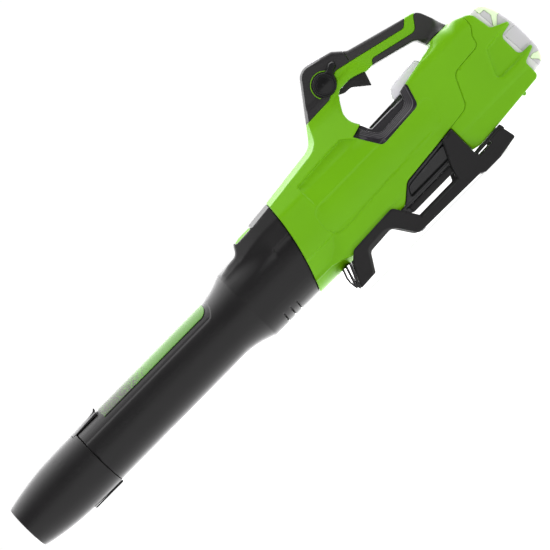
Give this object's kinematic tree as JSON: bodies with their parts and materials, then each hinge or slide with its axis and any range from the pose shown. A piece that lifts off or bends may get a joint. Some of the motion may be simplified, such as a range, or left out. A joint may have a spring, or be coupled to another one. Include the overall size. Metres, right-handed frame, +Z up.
{
  "type": "leaf blower",
  "caption": "Cordless axial leaf blower with a tapered nozzle, straight tube, top handle with trigger and cruise dial, skid guard and slide-in battery.",
  "frame": {"origin": "on the ground under the middle of the machine as it lies on its guard", "axes": "+X along the tube from nozzle to battery, +Y to the user's right as the nozzle points ahead, +Z up"},
  "size_m": [0.9084, 0.12, 0.2626],
  "materials": {
    "green_shell": "satin moulded polypropylene",
    "satin_black": "satin moulded plastic",
    "gloss_black": "glossy moulded plastic",
    "grip_rubber": "soft-touch overmould",
    "steel": "machined",
    "spring_steel": "drawn wire",
    "copper": "bare copper alloy",
    "cell_wrap": "wrapped cells",
    "fin_aluminium": "extruded",
    "circuit_green": "solder mask",
    "battery_grey": "satin moulded plastic",
    "battery_green": "satin moulded plastic",
    "latch_lavender": "satin moulded plastic",
    "decal_fade": "printed film that fades from green to grey"
  },
  "bodies": {
    "machine": {"fan_duct": "satin_black", "motor_pod": "satin_black", "tail_cone": "satin_black", "motor_stator": "steel", "stator_windings": "copper", "front_bearing": "steel", "rear_bearing": "steel", "inlet_bell": "satin_black", "intake_scoop": "gloss_black", "intake_grille": "satin_black", "housing_left": "green_shell", "housing_right": "green_shell", "battery_housing": "green_shell", "control_cover": "satin_black", "grip_top_pad": "grip_rubber", "grip_lower_pad": "grip_rubber", "trigger_pin": "steel", "trigger_spring": "spring_steel", "trigger_switch": "gloss_black", "turbo_spring": "spring_steel", "turbo_switch": "gloss_black", "dial_ring": "green_shell", "cruise_sensor": "gloss_black", "saddle_vent": "gloss_black", "intake_guard": "satin_black", "guard_slats": "satin_black", "guard_bolts": "steel", "housing_screws": "steel", "release_axle": "steel", "battery_spring": "spring_steel", "terminal_block": "gloss_black", "terminal_blades": "copper", "controller_board": "circuit_green", "heat_sink": "fin_aluminium"},
    "fan": {"fan_impeller": "gloss_black", "fan_spinner": "gloss_black", "motor_shaft": "steel", "motor_rotor": "steel"},
    "tube": {"blower_tube": "satin_black", "tube_decal": "decal_fade", "release_pin": "steel", "release_spring": "spring_steel"},
    "tube_release": {"release_lever": "green_shell"},
    "nozzle": {"nozzle_tip": "satin_black", "nozzle_wear_strip": "gloss_black"},
    "nozzle_tongue": {"nozzle_latch": "satin_black"},
    "trigger": {"trigger": "satin_black"},
    "turbo": {"turbo_button": "latch_lavender"},
    "cruise": {"cruise_dial": "gloss_black"},
    "battery": {"battery_case": "battery_grey", "battery_end_cap": "battery_green", "battery_end_pads": "latch_lavender", "battery_cells": "cell_wrap", "battery_sockets": "copper"},
    "battery_latch": {"battery_release": "latch_lavender"}
  },
  "joints": [
    {"name": "fan_spin", "type": "hinge", "parent": "machine", "child": "fan", "pos_m": [0.126, 0, 0.0985], "axis": [1, 0, 0], "continuous": true},
    {"name": "tube_slide", "type": "slide", "parent": "machine", "child": "tube", "axis": [-1, 0, 0], "range_m": [0, 0.12]},
    {"name": "tube_release_press", "type": "hinge", "parent": "tube", "child": "tube_release", "pos_m": [0.013, 0, 0.16], "axis": [0, -1, 0], "range_deg": [0, 7], "stiffness_Nm_per_rad": 0.6, "springref_deg": -6.88, "deforming": ["release_spring"]},
    {"name": "nozzle_slide", "type": "slide", "parent": "tube", "child": "nozzle", "axis": [-1, 0, 0], "range_m": [0, 0.07]},
    {"name": "nozzle_tongue_flex", "type": "hinge", "parent": "nozzle", "child": "nozzle_tongue", "pos_m": [-0.3285, 0, 0.1415], "axis": [0, -1, 0], "range_deg": [0, 6], "stiffness_Nm_per_rad": 0.8, "springref_deg": -2.86},
    {"name": "trigger_pull", "type": "hinge", "parent": "machine", "child": "trigger", "pos_m": [0.239, 0, 0.21], "axis": [0, -1, 0], "range_deg": [0, 12], "stiffness_Nm_per_rad": 0.6, "springref_deg": -11.46, "deforming": ["trigger_spring"]},
    {"name": "turbo_press", "type": "slide", "parent": "machine", "child": "turbo", "axis": [-0.2521, 0, -0.9677], "range_m": [0, 0.002], "stiffness_N_per_m": 900, "springref_m": -0.002, "deforming": ["turbo_spring"]},
    {"name": "cruise_turn", "type": "hinge", "parent": "machine", "child": "cruise", "pos_m": [0.2245, -0.02, 0.2267], "axis": [0, -1, 0], "range_deg": [0, 65]},
    {"name": "battery_slide", "type": "slide", "parent": "machine", "child": "battery", "axis": [0.9976, 0, 0.0698], "range_m": [0, 0.17]},
    {"name": "battery_latch_press", "type": "hinge", "parent": "machine", "child": "battery_latch", "pos_m": [0.328, 0, 0.158], "axis": [0, -1, 0], "range_deg": [0, 3], "stiffness_Nm_per_rad": 1.5, "springref_deg": -6.88, "deforming": ["battery_spring"]}
  ]
}
